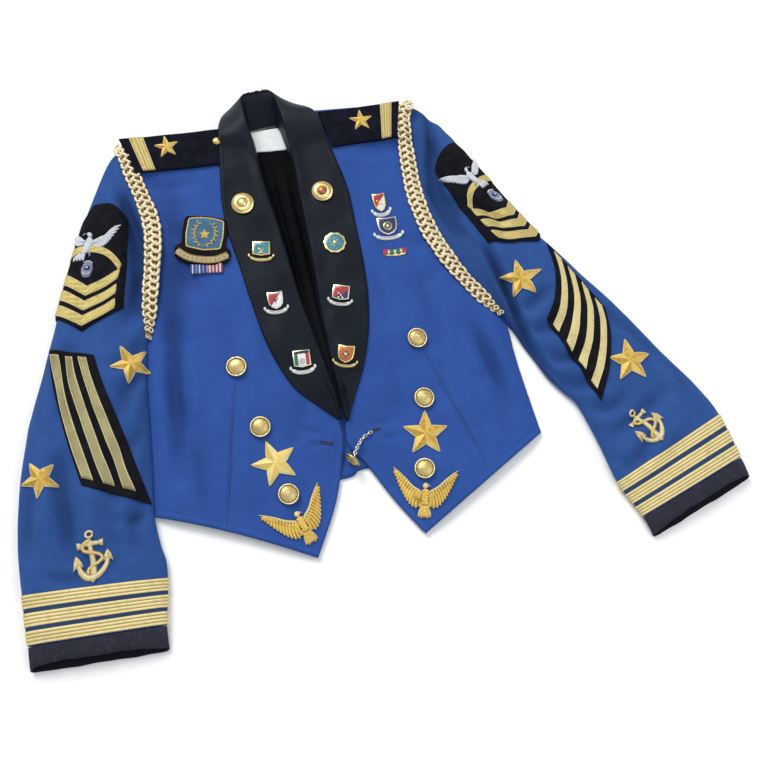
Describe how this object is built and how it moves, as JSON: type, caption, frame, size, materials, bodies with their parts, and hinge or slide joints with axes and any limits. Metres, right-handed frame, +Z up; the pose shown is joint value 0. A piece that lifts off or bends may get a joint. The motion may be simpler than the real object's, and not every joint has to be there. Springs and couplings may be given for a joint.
{
  "type": "cropped military jacket",
  "caption": "Cropped dress jacket laid flat on its back: shawl collar, pointed front hem, long sleeves, shoulder boards, metallic braid and sewn and pinned insignia.",
  "frame": {"origin": "middle of the footprint of the laid garment, on the surface it lies on", "axes": "+X towards the wearer's left sleeve, +Y towards the collar, +Z up out of the front of the garment"},
  "size_m": [0.8104, 0.681, 0.0398],
  "materials": {
    "braid_gold": "metallic braid",
    "braid_silver_gold": "metallic chain braid",
    "brass": "antique gold",
    "bullion_gold": "metallic thread embroidery",
    "enamel_green": "glossy enamel",
    "enamel_navy": "glossy enamel",
    "enamel_red": "glossy enamel",
    "enamel_teal": "glossy enamel",
    "felt_black": "wool felt",
    "grosgrain_black": "ribbed tape",
    "label_white": "woven label",
    "lining_black": "smooth lining cloth",
    "ribbon_weave": "woven ribbon",
    "satin_black": "satin weave",
    "steel_link": "polished links",
    "wool_blue": "felted wool"
  },
  "bodies": {
    "root": {"Anchor_sleeve_left": "bullion_gold", "Anchor_sleeve_right": "bullion_gold", "Armhole_braid_left": "braid_silver_gold", "Armhole_braid_right": "braid_silver_gold", "Back": "wool_blue", "Button_left_1": "brass", "Button_left_2": "brass", "Button_left_3": "brass", "Button_right_1": "brass", "Button_right_2": "brass", "Button_right_3": "brass", "Chest_patch": "felt_black", "Closure_button": "brass", "Closure_chain": "steel_link", "Collar_left": "satin_black", "Collar_right": "satin_black", "Cuff_left": "grosgrain_black", "Cuff_right": "grosgrain_black", "Eagle_front_left": "bullion_gold", "Eagle_front_right": "bullion_gold", "Front_left": "wool_blue", "Front_right": "wool_blue", "Label": "label_white", "Lining": "lining_black", "Pin_chest_left_bottom": "brass", "Pin_chest_left_middle": "enamel_navy", "Pin_chest_left_top": "enamel_red", "Pin_lapel_left_1": "brass", "Pin_lapel_left_2": "enamel_teal", "Pin_lapel_left_3": "enamel_navy", "Pin_lapel_left_4": "brass", "Pin_lapel_right_1": "brass", "Pin_lapel_right_2": "enamel_teal", "Pin_lapel_right_3": "enamel_red", "Pin_lapel_right_4": "enamel_green", "Rating_badge_left": "felt_black", "Rating_badge_right": "felt_black", "Ribbon_bar": "ribbon_weave", "Service_stripes_left": "felt_black", "Service_stripes_right": "felt_black", "Shoulder_board_button": "brass", "Shoulder_board_left": "felt_black", "Shoulder_board_right": "felt_black", "Sleeve_band_left_1": "braid_gold", "Sleeve_band_left_2": "braid_gold", "Sleeve_band_left_3": "braid_gold", "Sleeve_band_right_1": "braid_gold", "Sleeve_band_right_2": "braid_gold", "Sleeve_band_right_3": "braid_gold", "Sleeve_left": "wool_blue", "Sleeve_right": "wool_blue", "Star_board_left": "bullion_gold", "Star_board_right": "bullion_gold", "Star_front_left": "bullion_gold", "Star_front_right": "bullion_gold", "Star_sleeve_left_lower": "bullion_gold", "Star_sleeve_left_upper": "bullion_gold", "Star_sleeve_right_lower": "bullion_gold", "Star_sleeve_right_upper": "bullion_gold"}
  },
  "joints": []
}
